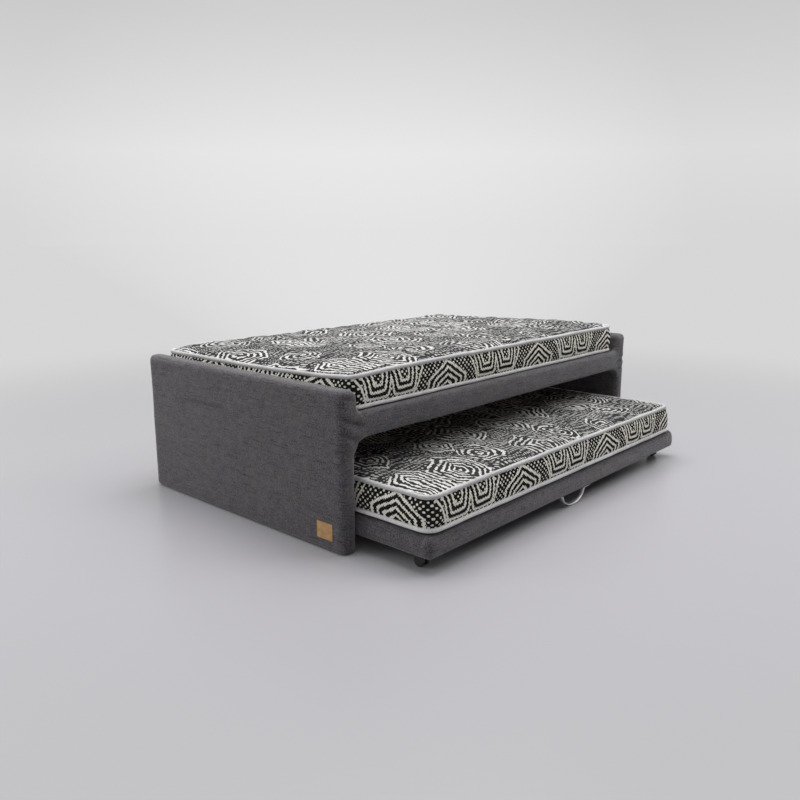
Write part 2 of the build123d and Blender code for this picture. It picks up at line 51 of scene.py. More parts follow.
# node helpers
class Wire:
    # an output socket that can stand in a sum: wave * 0.25 + 0.5 adds the nodes for it
    def __init__(self, socket):
        self.socket, self.tree = socket, socket.id_data

    def __add__(self, other):
        return calc("ADD", self, other)

    def __sub__(self, other):
        return calc("SUBTRACT", self, other)

    def __rsub__(self, other):
        return calc("SUBTRACT", other, self)

    def __mul__(self, other):
        return calc("MULTIPLY", self, other)

    def __truediv__(self, other):
        return calc("DIVIDE", self, other)

    def __rtruediv__(self, other):
        return calc("DIVIDE", other, self)

    def __abs__(self):
        return calc("ABSOLUTE", self)

    def __lt__(self, other):
        return calc("LESS_THAN", self, other)

    def __gt__(self, other):
        return calc("GREATER_THAN", self, other)


def feed(socket, source):
    if isinstance(source, Wire):
        source.tree.links.new(source.socket, socket)
    elif socket.type == "RGBA":
        socket.default_value = (*source, 1)
    else:
        socket.default_value = source


def addNode(tree, kind, inputs=(), **settings):
    # inputs gives sockets by name or number, each with its value or Wire
    node = tree.nodes.new(kind)
    for name, value in settings.items():
        setattr(node, name, value)
    for label, source in dict(inputs).items():
        feed(node.inputs[label], source)
    return node


def wired(tree, kind, inputs=(), output=0, **settings):
    return Wire(addNode(tree, kind, inputs, **settings).outputs[output])


def wiresOf(node):
    return {socket.name: Wire(socket) for socket in node.outputs if socket.name}


def treeOf(terms):
    return next(term.tree for term in terms if isinstance(term, Wire))


def calc(operation, *terms, clamp=False):
    settings = {"operation": operation, "use_clamp": clamp}
    return wired(treeOf(terms), "ShaderNodeMath", enumerate(terms), **settings)


def vecCalc(operation, *terms):
    kind, output = "ShaderNodeVectorMath", int(operation in ("LENGTH", "DOT_PRODUCT"))
    return wired(treeOf(terms), kind, enumerate(terms), output, operation=operation)


def scaled(vector, amount):
    return vecCalc("MULTIPLY", vector, amount)


def split(vector, kind="ShaderNodeSeparateXYZ"):
    return [Wire(socket) for socket in addNode(vector.tree, kind, {0: vector}).outputs]


def combine(x, y):
    return wired(x.tree, "ShaderNodeCombineXYZ", {0: x, 1: y})


def largest(*terms):
    result = terms[0]
    for term in terms[1:]:
        result = calc("MAXIMUM", result, term)
    return result


def ease(value, low, high, toLow=0.0, toHigh=1.0):
    inputs = enumerate((value, low, high, toLow, toHigh))
    return wired(value.tree, "ShaderNodeMapRange", inputs, interpolation_type="SMOOTHSTEP")


def blendValue(factor, first, second):
    inputs = {0: factor, 2: first, 3: second}
    return wired(factor.tree, "ShaderNodeMix", inputs, data_type="FLOAT")


def blendColor(factor, first, second):
    inputs = {0: factor, 6: first, 7: second}
    return wired(factor.tree, "ShaderNodeMix", inputs, 2, data_type="RGBA")


def grain(vector, size, detail=2.0, roughness=0.55, output="Fac"):
    inputs = {"Vector": vector, "Scale": size, "Detail": detail, "Roughness": roughness}
    return wired(vector.tree, "ShaderNodeTexNoise", inputs, output)


def wander(vector, size, amount):
    drift = vecCalc("SUBTRACT", grain(vector, size, 1.0, 0.5, "Color"), (0.5, 0.5, 0.5))
    return vecCalc("ADD", vector, scaled(drift, (amount, amount, amount)))


def attribute(tree, name):
    return wired(tree, "ShaderNodeAttribute", output="Fac", attribute_name=name)


def newGroup(name, outputs, main="Vector", kind="ShaderNodeTree", **inputs):
    # inputs gives the ones after the main one, with their start values
    group = bpy.data.node_groups.new(name, kind)

    def addSocket(label, way, what):
        return group.interface.new_socket(label, in_out=way, socket_type="NodeSocket" + what)

    addSocket(main, "INPUT", main)
    for label, start in inputs.items():
        what = "Int" if isinstance(start, int) else "Float"
        addSocket(label, "INPUT", what).default_value = start
    for label in outputs:
        addSocket(label, "OUTPUT", main if label == main else "Float")
    source = wiresOf(addNode(group, "NodeGroupInput"))
    return group, source, addNode(group, "NodeGroupOutput").inputs


def useGroup(group, **terms):
    return wiresOf(addNode(treeOf(terms.values()), "ShaderNodeGroup", terms, node_tree=group))


def newMaterial(name, color=(0.5, 0.5, 0.5), roughness=0.6, **plain):
    # plain gives more of the shader's own sockets, with _ for a space
    material = bpy.data.materials.new(name)
    material.use_nodes = True
    shader = material.node_tree.nodes["Principled BSDF"]
    for label, value in {"Base Color": color, "Roughness": roughness, **plain}.items():
        feed(shader.inputs[label.replace("_", " ")], value)
    return material, shader, wired(material.node_tree, "ShaderNodeTexCoord", output="Object")


def coat(material, shader, color, height, distance, strength):
    # colours the material and raises its surface by the height
    feed(shader.inputs["Base Color"], color)
    relief = {"Height": height, "Distance": distance, "Strength": strength}
    feed(shader.inputs["Normal"], wired(height.tree, "ShaderNodeBump", relief))
    return material


# shader groups
weaveLook = {
    "yarn": 0.0026, "stray": 0.0012, "fleckSize": 190,
    "streakStretch": (15, 15, 250), "fineStretch": (230, 230, 45), "fineShare": 0.35,
    "cloudSize": 7,
}


def buildWeaveGroup(look):
    outputs = ["Weave", "Fleck", "Slub", "Cloud"]
    group, source, sink = newGroup("plainWeave", outputs, Yarn=look["yarn"], Slub=1.0)
    place = source["Vector"]
    rate = fullTurn / source["Yarn"]
    waves = [calc("SINE", axis * rate) for axis in split(wander(place, 60, look["stray"]))]
    weave = waves[0] * waves[1] + (waves[0] + waves[1]) * waves[2]
    feed(sink["Weave"], weave * 0.25 + 0.5)
    feed(sink["Fleck"], grain(place, look["fleckSize"], 3, 0.65))
    streaks = grain(scaled(place, look["streakStretch"]), 1.0, 2, 0.5)
    fine = grain(scaled(place, look["fineStretch"]), 1.0, 1, 0.5)
    slub = ease(streaks, 0.45, 0.30) + ease(fine, 0.44, 0.30) * look["fineShare"]
    feed(sink["Slub"], slub * source["Slub"])
    feed(sink["Cloud"], grain(place, look["cloudSize"], 3, 0.6))
    return group


def ringWave(distance, start, spacing):
    return calc("COSINE", (distance - start) / spacing * fullTurn)


def dotLattice(run, rise, pitchRun, pitchRise):
    along = calc("COSINE", run * (fullTurn / pitchRun))
    return along * calc("COSINE", rise * (fullTurn / pitchRise))


def scatteredDots(run, rise, pitchRun, pitchRise, looseness):
    # like dotLattice, but every dot sits a little off its place
    spot = combine(run / pitchRun, rise / pitchRise)
    inputs = {"Vector": spot, "Scale": 1.0, "Randomness": looseness}
    kind = "ShaderNodeTexVoronoi"
    return wired(run.tree, kind, inputs, "Distance", voronoi_dimensions="2D") * -2.4 + 1.0


def shieldDistance(across, depth):
    return largest(depth * 0.25 + across, depth, (across + depth) * 0.598)


borderLook = {
    "repeat": 0.653,
    "shieldOffset": 0.071, "shieldTop": 0.090, "shieldLine": 0.0715,
    "shieldSpacing": 0.0232, "shieldEdge": 0.0775, "shieldCore": 0.0195,
    "gableSpacing": 0.0283, "gableEdge": 0.121, "gableSlope": (0.6, 1.05),
    "outerLine": 0.097, "outerLineWidth": 0.0052,
    "dotRun": 0.0235, "dotRise": 0.0215, "wearSize": 28,
    "cream": (0.95, 0.93, 0.845), "worn": (0.87, 0.845, 0.72),
    "ground": (0.008, 0.008, 0.0075),
}


def buildBorderGroup(look):
    # pairs of nested shields and nested gables on a ground of woven dots
    group, source, sink = newGroup("borderMotifs", ["Thread", "Wear"])
    place = source["Vector"]
    run, rise, _ = split(wander(wander(place, 16, 0.012), 85, 0.0042))
    half = look["repeat"] / 2
    fold = calc("PINGPONG", run, half)
    depth = look["shieldTop"] - rise
    fromShield = fold - look["shieldOffset"]
    shield = shieldDistance(abs(fromShield), depth)
    shieldWave = ringWave(shield, look["shieldLine"], look["shieldSpacing"])
    fromGable = half - fold
    slope = look["gableSlope"]
    gable = largest(fromGable, fromGable * slope[0] + rise * slope[1])
    gableWave = ringWave(gable, 0.0, look["gableSpacing"])
    inShield = shield < look["shieldEdge"]
    inCore = shield < look["shieldCore"]
    inGable = gable < look["gableEdge"]
    lines = blendValue(inShield, gableWave, shieldWave)
    scallop = dotLattice(run, rise, look["dotRun"] * 0.56, look["dotRise"] * 0.62)
    drawn = ease(lines * 0.70 + scallop * 0.50, 0.06, 0.28)
    loose = grain(place, 46, 1, 0.5) * 1.3 - 0.68
    dots = ease(dotLattice(run, rise, look["dotRun"], look["dotRise"]) + loose, 0.32, 0.56)
    inLines = calc("SUBTRACT", calc("ADD", inShield, inGable, clamp=True), inCore, clamp=True)
    offLine = abs(depth * 0.5 + fromShield - look["outerLine"])
    outerLine = ease(offLine, look["outerLineWidth"], look["outerLineWidth"] * 0.6)
    feed(sink["Thread"], largest(blendValue(inLines, dots, drawn), outerLine))
    feed(sink["Wear"], grain(place, look["wearSize"], 3, 0.6))
    return group


topLook = {
    "columnPitch": 0.252, "rowPitch": 0.300, "jitter": 0.15,
    "ringSpacing": 0.0215, "smallest": 0.074, "growth": 0.074, "lengthening": 0.68,
    "hexagonsFrom": 0.28, "gablesFrom": 0.66,
    "dotRun": 0.0190, "dotRise": 0.026, "wearSize": 14,
    "cream": (0.74, 0.735, 0.72), "worn": (0.62, 0.612, 0.59),
    "ground": (0.024, 0.024, 0.025), "groundShare": 0.66,
}


def buildTopGroup(look):
    # ovals, hexagons and gables scattered on a ground of dots and dashes
    group, source, sink = newGroup("topMotifs", ["Thread", "Motif", "Wear"])
    place = source["Vector"]
    run, rise, _ = split(wander(wander(place, 5.0, 0.11), 42, 0.012))
    row = calc("FLOOR", rise / look["rowPitch"])
    shifted = run + calc("FLOORED_MODULO", row, 2.0) * (look["columnPitch"] / 2)
    column = calc("FLOOR", shifted / look["columnPitch"])
    cell = {"Vector": combine(column, row)}
    chance = wiresOf(addNode(group, "ShaderNodeTexWhiteNoise", cell, noise_dimensions="2D"))
    first, second, third = split(chance["Color"], "ShaderNodeSeparateColor")
    swayRun, swayRise = [(pick - 0.5) * look["jitter"] for pick in (first, second)]
    x = abs(shifted - (column + 0.5) * look["columnPitch"] - swayRun)
    y = (rise - (row + 0.5) * look["rowPitch"] - swayRise) * look["lengthening"]
    up = abs(y)
    oval = calc("SQRT", x * x + y * y)
    hexagon = largest(x, x * 0.55 + up)
    flip = (first > 0.5) * 2.0 - 1.0
    gable = largest(x, x * 0.62 + y * flip)
    isHexagon = chance["Value"] > look["hexagonsFrom"]
    isGable = chance["Value"] > look["gablesFrom"]
    shape = blendValue(isGable, blendValue(isHexagon, oval, hexagon), gable)
    reach = third * look["growth"] + look["smallest"]
    inShape = largest(shape, up * 0.8) < reach
    lines = ringWave(shape - reach, -0.4 * look["ringSpacing"], look["ringSpacing"])
    scallop = scatteredDots(run, rise, look["dotRun"] * 0.62, look["dotRise"] * 0.60, 0.5)
    broken = grain(place, 30, 1, 0.5) * 1.7 - 0.87
    bold = first * 0.40 - 0.20
    drawn = ease(lines * 0.70 + scallop * 0.62 + broken + bold, 0.08, 0.40)
    slant = rise * 0.30 + run
    dashes = scatteredDots(slant, rise, look["dotRun"] * 0.68, look["dotRise"] * 1.30, 0.40)
    plainDots = scatteredDots(run, rise, look["dotRun"] * 0.80, look["dotRise"] * 0.78, 0.25)
    patch = ease(grain(place, 5.0, 1, 0.5), 0.52, 0.60)
    density = grain(place, 9.0, 2, 0.5) * 1.1 - 0.60
    dots = ease(blendValue(patch, plainDots, dashes) + density, 0.06, 0.40)
    feed(sink["Thread"], blendValue(inShape, dots, drawn))
    feed(sink["Motif"], inShape * calc("MULTIPLY_ADD", second, 0.90, 0.52, clamp=True))
    feed(sink["Wear"], grain(place, look["wearSize"], 3, 0.6))
    return group


weaveGroup = buildWeaveGroup(weaveLook)
borderGroup = buildBorderGroup(borderLook)
topGroup = buildTopGroup(topLook)
print("shader groups built")


# materials
tweedLook = {
    "dark": (0.052, 0.048, 0.053),
    "light": (0.168, 0.158, 0.167),
    "slub": (0.026, 0.024, 0.028),
    "warm": (0.130, 0.110, 0.104),
    "cool": (0.087, 0.089, 0.119),
    "creaseShade": 0.70,
    "slubShare": 0.62,
}
wovenLook = {"shadow": (0.40, 0.385, 0.36), "yarn": 0.0034}
# grey for the upper piping, pale for the lower one, whose paler tone is painted light
pipingLook = {
    "grey": ((0.53, 0.525, 0.53), (0.69, 0.685, 0.69)),
    "pale": ((0.74, 0.73, 0.73), (0.88, 0.875, 0.88)),
    "yarn": 0.002,
}
timberLook = {"light": (0.66, 0.46, 0.26), "dark": (0.50, 0.31, 0.15), "fleck": (0.72, 0.53, 0.32)}
boardLook = {"dark": (0.42, 0.29, 0.17), "light": (0.62, 0.47, 0.30), "chipSize": 160}
leatherLook = {
    "dark": (0.47, 0.27, 0.11), "light": (0.60, 0.37, 0.17),
    "darkRim": (0.10, 0.045, 0.018), "poreSize": 620,
}
dustLook = {"dark": (0.012, 0.012, 0.013), "light": (0.045, 0.045, 0.047), "dimplePitch": 0.004}


def tweedCloth(look):
    material, shader, place = newMaterial(
        "tweedCloth", roughness=0.9, Sheen_Weight=0.5, Sheen_Roughness=0.4, Specular_IOR_Level=0.2,
    )
    parts = useGroup(weaveGroup, Vector=place)
    nub = grain(place, 290, 1, 0.5)
    light = ease(parts["Fleck"] * 0.6 + nub * 0.4, 0.36, 0.64)
    base = blendColor(light, look["dark"], look["light"])
    warm = ease(parts["Cloud"] + grain(place, 60, 2) * 0.5, 0.72, 0.92, 0, 0.4)
    cool = ease(grain(place, 24, 4, 0.65), 0.50, 0.68, 0, 0.5)
    base = blendColor(cool, blendColor(warm, base, look["warm"]), look["cool"])
    slubbed = blendColor(parts["Slub"] * look["slubShare"], base, look["slub"])
    patchy = ease(grain(place, 30, 2, 0.6), 0.3, 0.7, 0.89, 1.11)
    # painted shade: the cloth is darkened along the creases
    shade = patchy * (attribute(place.tree, "PaintedCreaseShade") * -look["creaseShade"] + 1.0)
    height = parts["Weave"] * 0.3 + (parts["Fleck"] + nub)
    return coat(material, shader, scaled(slubbed, shade), height, 0.0016, 0.8)


def wovenPattern(name, group, look):
    material, shader, place = newMaterial(name, roughness=0.88, Specular_IOR_Level=0.15)
    motifs = useGroup(group, Vector=wired(place.tree, "ShaderNodeUVMap", uv_map="Cloth"))
    weave = useGroup(weaveGroup, Vector=place, Yarn=wovenLook["yarn"])
    yarn = blendColor(ease(motifs["Wear"], 0.3, 0.7), look["cream"], look["worn"])
    shaded = blendColor(ease(weave["Fleck"], 0.62, 0.3, 0.0, 0.35), yarn, wovenLook["shadow"])
    deep, bright = [[c * share for c in look["ground"]] for share in (0.5, 1.6)]
    black = blendColor(weave["Fleck"], deep, bright)
    thread = motifs["Thread"]
    if "Motif" in motifs:
        thread = thread * blendValue(motifs["Motif"], look["groundShare"], 1.0)
    height = weave["Weave"] * 0.3 + motifs["Thread"]
    return coat(material, shader, blendColor(thread, black, shaded), height, 0.0012, 0.6)


def pipingCloth(look):
    material, shader, place = newMaterial("pipingCloth", roughness=0.8)
    parts = useGroup(weaveGroup, Vector=place, Yarn=look["yarn"])
    tone = ease(parts["Fleck"], 0.3, 0.7)
    grey, pale = blendColor(tone, *look["grey"]), blendColor(tone, *look["pale"])
    # painted light: the marked lower piping is painted paler than the upper
    color = blendColor(attribute(place.tree, "PaintedLightRun"), grey, pale)
    soiled = ease(parts["Cloud"], 0.35, 0.65, 0.84, 1.0)
    return coat(material, shader, scaled(color, soiled), parts["Weave"], 0.0006, 0.6)


def pineTimber(name, stretch):
    # stretch is short along the grain
    material, shader, place = newMaterial(name, roughness=0.62)
    place = scaled(place, stretch)
    inputs = {"Vector": wander(place, 2.2, 0.35), "Scale": 5.0, "Distortion": 3.0, "Detail": 2.0}
    kind = "ShaderNodeTexWave"
    rings = wired(place.tree, kind, inputs, "Fac", bands_direction="DIAGONAL")
    color = blendColor(rings, timberLook["light"], timberLook["dark"])
    color = blendColor(ease(grain(place, 18, 3, 0.6), 0.35, 0.7), color, timberLook["fleck"])
    return coat(material, shader, color, rings, 0.0005, 0.3)


def chipBoard(look):
    material, shader, place = newMaterial("chipBoard", roughness=0.8)
    inputs = {"Vector": place, "Scale": look["chipSize"]}
    chips = wiresOf(addNode(place.tree, "ShaderNodeTexVoronoi", inputs))
    shade = split(chips["Color"], "ShaderNodeSeparateColor")[0]
    color = blendColor(shade, look["dark"], look["light"])
    return coat(material, shader, color, chips["Distance"], 0.0004, 0.3)


def steel(name, color, roughness, stretch):
    material, shader, place = newMaterial(name, color, roughness, Metallic=1.0)
    brushed = grain(scaled(place, stretch), 1.0, 2, 0.6)
    rough = brushed * 0.10 + grain(place, 45, 2, 0.5) * 0.12
    feed(shader.inputs["Roughness"], rough + (roughness - 0.1))
    return coat(material, shader, color, brushed, 0.0002, 0.25)


def mouldedPlastic(name, color):
    material, shader, place = newMaterial(name, color, 0.5)
    tone = blendColor(grain(place, 130, 3, 0.6), color, [c * 2.1 for c in color])
    feed(shader.inputs["Roughness"], ease(grain(place, 60, 2, 0.5), 0.3, 0.7, 0.42, 0.6))
    return coat(material, shader, tone, grain(place, 900, 1, 0.5), 0.0002, 0.3)


def tagLeather(look):
    material, shader, place = newMaterial("tagLeather", roughness=0.55)
    inputs = {"Vector": place, "Scale": look["poreSize"]}
    pores = wired(place.tree, "ShaderNodeTexVoronoi", inputs, "Distance")
    across, up, _ = split(wired(place.tree, "ShaderNodeUVMap", uv_map="Cloth"))
    # darker towards the rim of the tag
    darkRim = ease(largest(abs(across), abs(up)) + grain(place, 90, 2) * 0.05, 0.90, 1.01)
    tone = blendColor(ease(grain(place, 38, 3, 0.6), 0.3, 0.7), look["dark"], look["light"])
    return coat(material, shader, blendColor(darkRim, tone, look["darkRim"]), pores, 0.0004, 0.35)


def nonWoven(look):
    material, shader, place = newMaterial("nonWoven", roughness=0.95)
    fibres = grain(scaled(place, (1, 1.6, 1)), 420, 3, 0.7)
    run, rise, _ = split(place)
    dimples = dotLattice(run, rise, look["dimplePitch"], look["dimplePitch"])
    color = blendColor(fibres, look["dark"], look["light"])
    return coat(material, shader, color, fibres + dimples * 0.3, 0.0004, 0.5)


clothTweed = tweedCloth(tweedLook)
clothBorder = wovenPattern("mattressBorder", borderGroup, borderLook)
clothTop = wovenPattern("mattressTop", topGroup, topLook)
clothPiping = pipingCloth(pipingLook)
timberAlongX = pineTimber("pineAlongX", (1.2, 22, 22))
timberAlongY = pineTimber("pineAlongY", (22, 1.2, 22))
timberUpright = pineTimber("pineUpright", (22, 4, 1.2))
board = chipBoard(boardLook)
zinc = steel("zincPlate", (0.60, 0.61, 0.62), 0.38, (60, 400, 400))
brightMetal = steel("brightStrap", (0.80, 0.80, 0.80), 0.50, (30, 600, 30))
darkSteel = steel("blackenedSteel", (0.045, 0.045, 0.047), 0.45, (400, 60, 60))
blackPlastic = mouldedPlastic("castorPlastic", (0.009, 0.0085, 0.008))
glidePlastic = mouldedPlastic("glidePlastic", (0.02, 0.02, 0.02))
leather = tagLeather(leatherLook)
dustClothAndPaintedShade = nonWoven(dustLook)
print("materials built")


# mesh helpers
def addPiece(name, data):
    piece = bpy.data.objects.new(name, data)
    scene.collection.objects.link(piece)
    return piece


def makePiece(name, vertices, faces, materials=(), smooth=True, edges=()):
    mesh = bpy.data.meshes.new(name)
    mesh.from_pydata([tuple(v) for v in vertices], edges, faces)
    mesh.update()
    mesh.polygons.foreach_set("use_smooth", [smooth] * len(mesh.polygons))
    for material in materials:
        mesh.materials.append(material)
    return addPiece(name, mesh)


def bake(piece):
    # the mesh that the modifiers make takes the place of the piece's own
    bpy.context.view_layer.update()
    graph = bpy.context.evaluated_depsgraph_get()
    mesh = bpy.data.meshes.new_from_object(piece.evaluated_get(graph), depsgraph=graph)
    piece.modifiers.clear()
    old = piece.data
    piece.data = mesh
    mesh.name = old.name
    bpy.data.meshes.remove(old)
    return piece


def meshFrom(shape, name):
    mesh = bpy.data.meshes.new(name)
    shape.to_mesh(mesh)
    shape.free()
    return mesh


def addModifier(piece, name, kind, **settings):
    modifier = piece.modifiers.new(name, kind)
    for label, value in settings.items():
        setattr(modifier, label, value)
    return modifier


def fixNormals(piece):
    shape = bmesh.new()
    shape.from_mesh(piece.data)
    bmesh.ops.recalc_face_normals(shape, faces=shape.faces)
    shape.to_mesh(piece.data)
    shape.free()
    return piece


def around(loop):
    # each point with the next one, and the last with the first
    return zip(loop, loop[1:] + loop[:1])


def bands(loops):
    # quads between each closed loop of points and the next
    faces = []
    for lower, upper in zip(loops, loops[1:]):
        faces += [[a, b, d, c] for (a, b), (c, d) in zip(around(lower), around(upper))]
    return faces


def countedLoops(levels, count):
    return [list(range(level * count, (level + 1) * count)) for level in range(levels)]


def clamped(value):
    return min(1.0, max(0.0, value))


def smoothStep(value, low, high):
    t = clamped((value - low) / (high - low))
    return t * t * (3 - 2 * t)


def ripple(x, y, z):
    return noise.noise(Vector((x, y, z)))


def roundedRow(y, halfX, halfY, radius):
    over = max(0.0, abs(y) - (halfY - radius))
    return halfX - radius + math.sqrt(max(0.0, radius * radius - over * over))


def edgeDistance(x, y, halfX, halfY, radius):
    # distance in from the rounded outline, and which way is outward there
    qx, qy = abs(x) - (halfX - radius), abs(y) - (halfY - radius)
    if qx > 0 and qy > 0:
        reach = math.hypot(qx, qy)
        return radius - reach, (math.copysign(qx / reach, x), math.copysign(qy / reach, y))
    if qx > qy:
        return radius - qx, (math.copysign(1, x), 0.0)
    return radius - qy, (0.0, math.copysign(1, y))


def outlineRows(halfY, radius, step, arcSteps=10):
    straight = halfY - radius
    turns = [math.pi / 2 * k / arcSteps for k in range(1, arcSteps + 1)]
    arc = [straight + radius * math.sin(turn) for turn in turns]
    count = max(2, round(2 * straight / step))
    return [-y for y in reversed(arc)] + list(np.linspace(-straight, straight, count + 1)) + arc


def rimOf(grid):
    # the outermost points, once round
    right, left = [row[-1] for row in grid[:-1]], [row[0] for row in grid[:0:-1]]
    return grid[0][:-1] + right + grid[-1][:0:-1] + left


def paddedForm(name, centre, half, radius, profile, heights, step, materials, flare=0.0):
    # closed soft form over a rounded rectangle; profile goes from the bottom seam to the top
    # one as (outward, share of the height), heights shapes the top face and the bottom face,
    # and flare is how far the bottom stands out past the top
    halfX, halfY = half
    outline = (halfX, halfY, radius)
    rows = outlineRows(halfY, radius, step)
    columns = max(4, round(2 * halfX / step))
    vertices, sheets = [], []
    for height, spread in zip(heights, (0.0, flare)):
        stretchX, stretchY = 1 + spread / halfX, 1 + spread / halfY
        grid = []
        for y in rows:
            grid.append(list(range(len(vertices), len(vertices) + columns + 1)))
            for x in roundedRow(y, *outline) * np.linspace(-1, 1, columns + 1):
                inside, _ = edgeDistance(x, y, *outline)
                z = height(x, y, max(0.0, inside))
                vertices.append((centre[0] + x * stretchX, centre[1] + y * stretchY, z))
        sheets.append(grid)
    rims = [rimOf(grid) for grid in sheets]
    seam, lowSeam = [[Vector(vertices[v]) for v in rim] for rim in rims]
    count, runs = len(seam), [0.0]
    for point, following in around(seam):
        runs.append(runs[-1] + (following.xy - point.xy).length)
    loops = [rims[1]]
    for outward, share in profile:
        loops.append(list(range(len(vertices), len(vertices) + count)))
        for low, high in zip(lowSeam, seam):
            _, (nx, ny) = edgeDistance(high.x - centre[0], high.y - centre[1], *outline)
            between = low.lerp(high, share)
            vertices.append((between.x + nx * outward, between.y + ny * outward, between.z))
    loops.append(rims[0])

    # material slots: 0 the side, 1 the top face, 2 the bottom face and the band under the seam
    faces, spots, slots = [], [], []
    for grid, order, slot in zip(sheets, (1, -1), (1, 2)):
        for near, far in zip(grid, grid[1:]):
            for i in range(columns):
                quad = [near[i], near[i + 1], far[i + 1], far[i]][::order]
                faces.append(quad)
                spots += [(vertices[v][0] - centre[0], vertices[v][1] - centre[1]) for v in quad]
                slots.append(slot)
    lowest = vertices[loops[1][0]][2]
    for number, quad in enumerate(bands(loops)):
        band, k = divmod(number, count)
        along = (runs[k], runs[k + 1], runs[k + 1], runs[k])
        faces.append(quad)
        spots += [(run, vertices[v][2] - lowest) for run, v in zip(along, quad)]
        slots.append(0 if band else 2)
    piece = makePiece(name, vertices, faces, materials)
    layer = piece.data.uv_layers.new(name="Cloth")
    layer.data.foreach_set("uv", [part for spot in spots for part in spot])
    if len(materials) > 1:
        piece.data.polygons.foreach_set("material_index", slots)
    return piece, seam, lowSeam


# piping
def buildCordTree(material):
    # a round cord along every edge of the mesh
    tree, source, sink = newGroup(
        "pipingAlongSeam", ["Geometry"], "Geometry", "GeometryNodeTree", Radius=0.007, Sides=12,
    )
    path = wired(tree, "GeometryNodeMeshToCurve", {"Mesh": source["Geometry"]})
    circle = {"Radius": source["Radius"], "Resolution": source["Sides"]}
    ring = wired(tree, "GeometryNodeCurvePrimitiveCircle", circle)
    tube = wired(tree, "GeometryNodeCurveToMesh", {"Curve": path, "Profile Curve": ring})
    smooth = wired(tree, "GeometryNodeSetShadeSmooth", {"Geometry": tube})
    painted = wired(tree, "GeometryNodeSetMaterial", {"Geometry": smooth, "Material": material})
    feed(sink["Geometry"], wired(tree, "GeometryNodeRealizeInstances", {"Geometry": painted}))
    return tree


pipingTree = buildCordTree(clothPiping)


def pipingRing(name, loops, radius):
    vertices, edges = [], []
    for loop in loops:
        edges += around([len(vertices) + k for k in range(len(loop))])
        vertices += loop
    piece = makePiece(name, vertices, [], edges=edges)
    modifier = addModifier(piece, "piping", "NODES", node_group=pipingTree)
    modifier[pipingTree.interface.items_tree["Radius"].identifier] = radius
    return bake(piece)


# mattresses
mattressLook = {
    "pipingRadius": 0.0084, "seamInset": 0.0115,
    "bulge": 0.0130, "bulgeSteps": 11, "tuck": 0.0015,
    "crown": 0.014, "crownPower": 2.4, "shoulder": 0.085,
    "puff": 0.0065, "puffFade": 0.07, "quiltPitch": 0.135,
    "lumps": 0.006, "waver": 0.0012, "seamWaver": 0.0011, "step": 0.0125,
}
upperSettle = {
    "back": 0.024, "corner": 0.010, "left": 0.024, "reachFront": 0.30, "reachBack": 0.24,
    "shift": (-0.011, 0.0), "cornerRadius": 0.050, "flare": 0.003, "lift": 0.0045,
    "patternStart": -0.763, "seed": 1.3,
}
lowerSettle = {
    "back": 0.004, "corner": 0.002, "left": 0.006, "reachFront": 0.20, "reachBack": 0.20,
    "shift": (0.004, -0.004), "cornerRadius": 0.056, "flare": 0.010, "lift": 0.0070,
    "patternStart": -0.732, "seed": 5.9,
}


def sagging(x, y, half, settle):
    # the top sinks towards the back, and more at the left end
    inward = clamped((y + half[1]) / (2 * half[1]))
    back = settle["back"] * smoothStep(inward, 0.15, 0.95)
    left = settle["corner"] + settle["left"] * (1 - (1 - inward) ** 4)
    reach = settle["reachFront"] + (settle["reachBack"] - settle["reachFront"]) * inward
    near = clamped(1 - (half[0] + x) / reach) ** 1.5
    return back + (max(back, left) - back) * near


def quilting(x, y, pitch, seed):
    bentX = x + 0.022 * math.sin(y * 9.1 + seed)
    bentY = y + 0.018 * math.sin(x * 7.7 + seed * 2)
    first, second = [math.sin(math.pi * (bentX + side * bentY) / pitch) for side in (1, -1)]
    return math.sqrt(abs(first * second))


